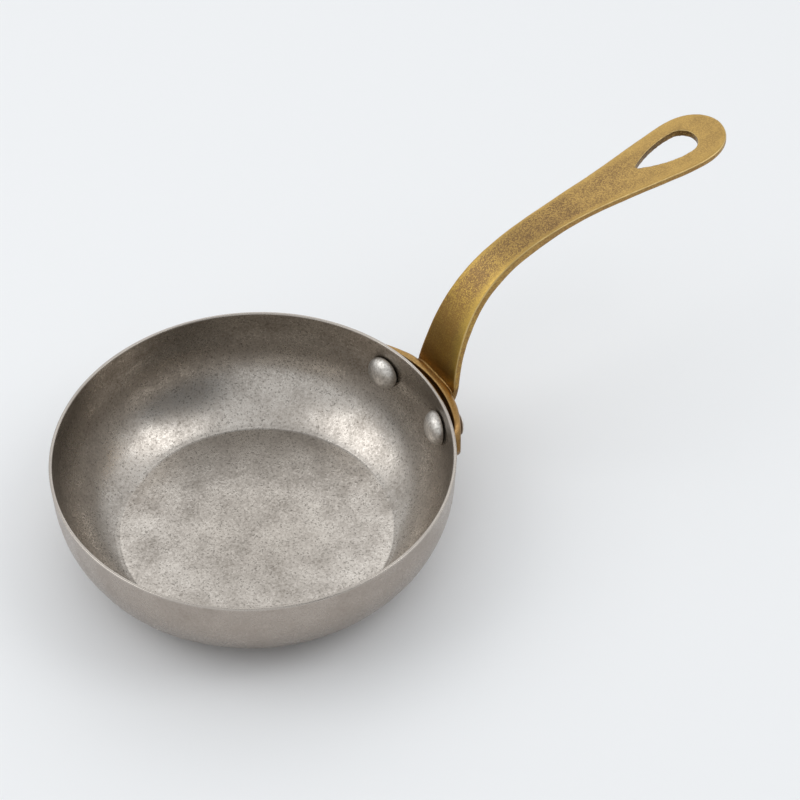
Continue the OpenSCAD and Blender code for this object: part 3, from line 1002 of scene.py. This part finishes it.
def cast_brass(finish):
    """Brass, sand cast, darkened and rubbed back: gold edges and tip, brown specks in the grain
    along the middle of the bar, a deep olive brown at its root, an orange tan ledge, and dark
    patches low on the bar's left. Painted shade darkens the bar's sides, the eye, the flange's
    flanks and the corner above the ledge."""
    made, tree, shader, where = fresh_material("antiqued_cast_brass")
    # The sand leaves a grain of 0.2 to 0.3 mm. It is drawn a little coarser, so that it shows.
    cells = node(tree, "TexVoronoi", {"Vector": where, "Scale": 1 / finish.brass_grain})
    grain = node(tree, "SeparateColor", (cells["Color"],))[0]
    cloud = {"Vector": where, "Scale": 1 / (0.6 * finish.blotch), "Detail": 4.0}
    cloud = node(tree, "TexNoise", cloud)[0]
    speck = node(tree, "Math", (cloud, 1.2, grain), operation="MULTIPLY_ADD")[0]
    speck = node(tree, "MapRange", (speck, 1.6, 0.6))[0]
    coat = (*finish.brass_gold, 1.0)
    # Each patina, and the painted shade that rides on some of them, lies where it is stored, in the
    # specks and as an even film. The third number is how much of it is in the specks everywhere.
    for name, in_specks, even, everywhere, shade in (
        ("olive", 0.0, 1.0, 0.0, finish.brass_olive),
        ("tarnish", 0.0, 1.0, 0.0, finish.brass_orange),
        ("brown", 1.05, 0.18, 0.2, finish.brass_brown),
        ("deep", 0.5, 0.7, 0.0, finish.brass_dark),
        ("shade_and_grime", 0.8, 0.6, 0.0, finish.brass_grime),
        ("rubbed", 0.0, 0.7, 0.0, finish.brass_rubbed),
    ):
        stored = node(tree, "Attribute", attribute_name=name)["Fac"]
        parts = (speck, in_specks, even), (speck, everywhere, 0.0)
        share, rest = [node(tree, "Math", part, operation="MULTIPLY_ADD")[0] for part in parts]
        amount = node(tree, "Math", (stored, share, rest), operation="MULTIPLY_ADD")[0]
        mix = {FACTOR: amount, UNDER: coat, OVER: (*shade, 1.0)}
        coat = node(tree, "Mix", mix, data_type="RGBA")[MIXED]
    rough = node(tree, "MapRange", (speck, 0.0, 1.0, 0.28, 0.46))[0]
    bump = {"Strength": 0.7, "Distance": 0.07 / MM, "Height": cells["Distance"]}
    bump = node(tree, "Bump", bump)[0]
    wire(tree, shader, {"Metallic": 1.0, "Base Color": coat, "Roughness": rough, "Normal": bump})
    return made


def matt_floor(shade):
    """Seamless paper: plain and matt, so it takes only the object's soft shadow. The tooth of real
    paper is a few tenths of a millimetre, too fine to show, and is drawn at 1.5 mm."""
    made, tree, shader, where = fresh_material("matt_backdrop_paper")
    tooth = node(tree, "TexNoise", {"Vector": where, "Scale": MM / 1.5, "Detail": 2.0})[0]
    bump = node(tree, "Bump", {"Strength": 0.03, "Distance": 0.05 / MM, "Height": tooth})[0]
    constants = {"Base Color": (*shade, 1.0), "Roughness": 0.9, "Specular IOR Level": 0.1}
    wire(tree, shader, {**constants, "Normal": bump})
    return made


class OMELETTE_PAN_OT_stage(bpy.types.Operator):
    """Sets the camera at the photograph's angle, the pale floor, the lamps and the studio"""

    bl_idname = "omelette_pan.stage"
    bl_label = "Stage"
    FRAME_WIDTH = 36.0
    FLOOR_HALF = 3.0
    # Width and height in metres, angle about the upright axis and height in degrees, and share of
    # the power. Each stands 1 m from the pan.
    SOFTBOXES = {
        "left_softbox": (0.66, 0.62, 150, 47, 1.1),
        "right_softbox": (0.36, 0.62, -41, 51, 0.72),
        "back_softbox": (0.7, 0.55, 50, 45, 0.4),
    }

    def execute(self, context):
        stage = context.scene.stage_sizes
        lens = bpy.data.cameras.new("camera")
        lens.lens = stage.lens
        lens.sensor_width = self.FRAME_WIDTH
        camera = show("camera", lens)
        camera.location = stage.camera_at
        camera.rotation_euler = (stage.pitch, 0.0, stage.turn)
        context.scene.camera = camera
        context.scene.view_settings.view_transform = "Standard"
        half = self.FLOOR_HALF
        floor_mesh = bpy.data.meshes.new("floor")
        corners = [(-half, -half, 0), (half, -half, 0), (half, half, 0), (-half, half, 0)]
        floor_mesh.from_pydata(corners, [], [(0, 1, 2, 3)])
        floor_mesh.materials.append(matt_floor(stage.floor))
        show("floor", floor_mesh)
        for name, (wide, tall, side, height, share) in self.SOFTBOXES.items():
            lamp = bpy.data.lights.new(name, "AREA")
            lamp.shape = "RECTANGLE"
            lamp.size = wide
            lamp.size_y = tall
            lamp.energy = stage.lamp * share
            light = show(name, lamp)
            light.visible_camera = False
            light.location = direction(side, height)
            light.rotation_euler = (-light.location).to_track_quat("-Z", "Y").to_euler()
        self.studio(context, stage)
        return {"FINISHED"}

    def studio(self, context, stage):
        """A pale studio. The camera sees it plain, and the metal sees it with one dimmer side and a
        dimmer ceiling. The floor is lit more from overhead, which keeps the pan's shadow close."""
        world = bpy.data.worlds.new("studio")
        world.use_nodes = True
        tree = world.node_tree
        tree.nodes.clear()
        sky = (*stage.sky, 1.0)
        path = node(tree, "LightPath")
        way = node(tree, "TexCoord")["Generated"]
        seen = path["Is Camera Ray"]
        for ray in ("Is Glossy Ray", "Is Transmission Ray"):
            seen = node(tree, "Math", (seen, path[ray]), operation="MAXIMUM")[0]
        # Nearness to a direction is the cosine of the angle to it.
        overhead, dark_side, ceiling = [
            node(tree, "VectorMath", (way, direction(*toward)), operation="DOT_PRODUCT")[1]
            for toward in ((60, 78), (-80, 24), (58, 70))
        ]
        above = (overhead, 0.0, 1.0, 0.2 * stage.light, 1.5 * stage.light)
        above = node(tree, "MapRange", above)[0]
        lit = node(tree, "Background", (sky, above))[0]
        strength = 1.0
        for spot in ((dark_side, 0.82, 0.98, 1.0, stage.dim_side), (ceiling, 0.9, 0.98, 1.0, 0.5)):
            spot = node(tree, "MapRange", spot, interpolation_type="SMOOTHSTEP")[0]
            strength = node(tree, "Math", (spot, strength), operation="MULTIPLY")[0]
        plain = path["Is Camera Ray"]
        strength = node(tree, "Math", (strength, plain), operation="MAXIMUM")[0]
        shown = node(tree, "Background", (sky, strength))[0]
        both = node(tree, "MixShader", (seen, lit, shown))[0]
        node(tree, "OutputWorld", {"Surface": both})
        context.scene.world = world


class OMELETTE_PAN_PT_panel(bpy.types.Panel):
    """Lists the makers and their settings in the sidebar"""

    bl_label = "Omelette Pan"
    bl_space_type = "VIEW_3D"
    bl_region_type = "UI"
    bl_category = "Omelette Pan"

    def draw(self, context):
        for maker in MAKERS:
            self.layout.operator(maker.bl_idname, text=maker.bl_label)
        for group in SETTINGS:
            box = self.layout.box()
            settings = getattr(context.scene, group)
            for key in settings.__annotations__:
                box.prop(settings, key)


SETTINGS = {
    "pan_sizes": PanSizes,
    "rivet_sizes": RivetSizes,
    "handle_sizes": HandleSizes,
    "finishes": Finishes,
    "stage_sizes": StageSizes,
}
MAKERS = (
    OMELETTE_PAN_OT_stage,
    OMELETTE_PAN_OT_body,
    OMELETTE_PAN_OT_handle,
    OMELETTE_PAN_OT_rivets,
)
CLASSES = (*SETTINGS.values(), *MAKERS, OMELETTE_PAN_PT_panel)


def register():
    for made in CLASSES:
        bpy.utils.register_class(made)
    for name, group in SETTINGS.items():
        setattr(bpy.types.Scene, name, PointerProperty(type=group))


def unregister():
    for name in SETTINGS:
        delattr(bpy.types.Scene, name)
    for made in reversed(CLASSES):
        bpy.utils.unregister_class(made)


def main():
    register()
    bpy.ops.omelette_pan.stage()
    bpy.ops.omelette_pan.body()
    bpy.ops.omelette_pan.handle()
    bpy.ops.omelette_pan.rivets()


if __name__ == "__main__":
    main()
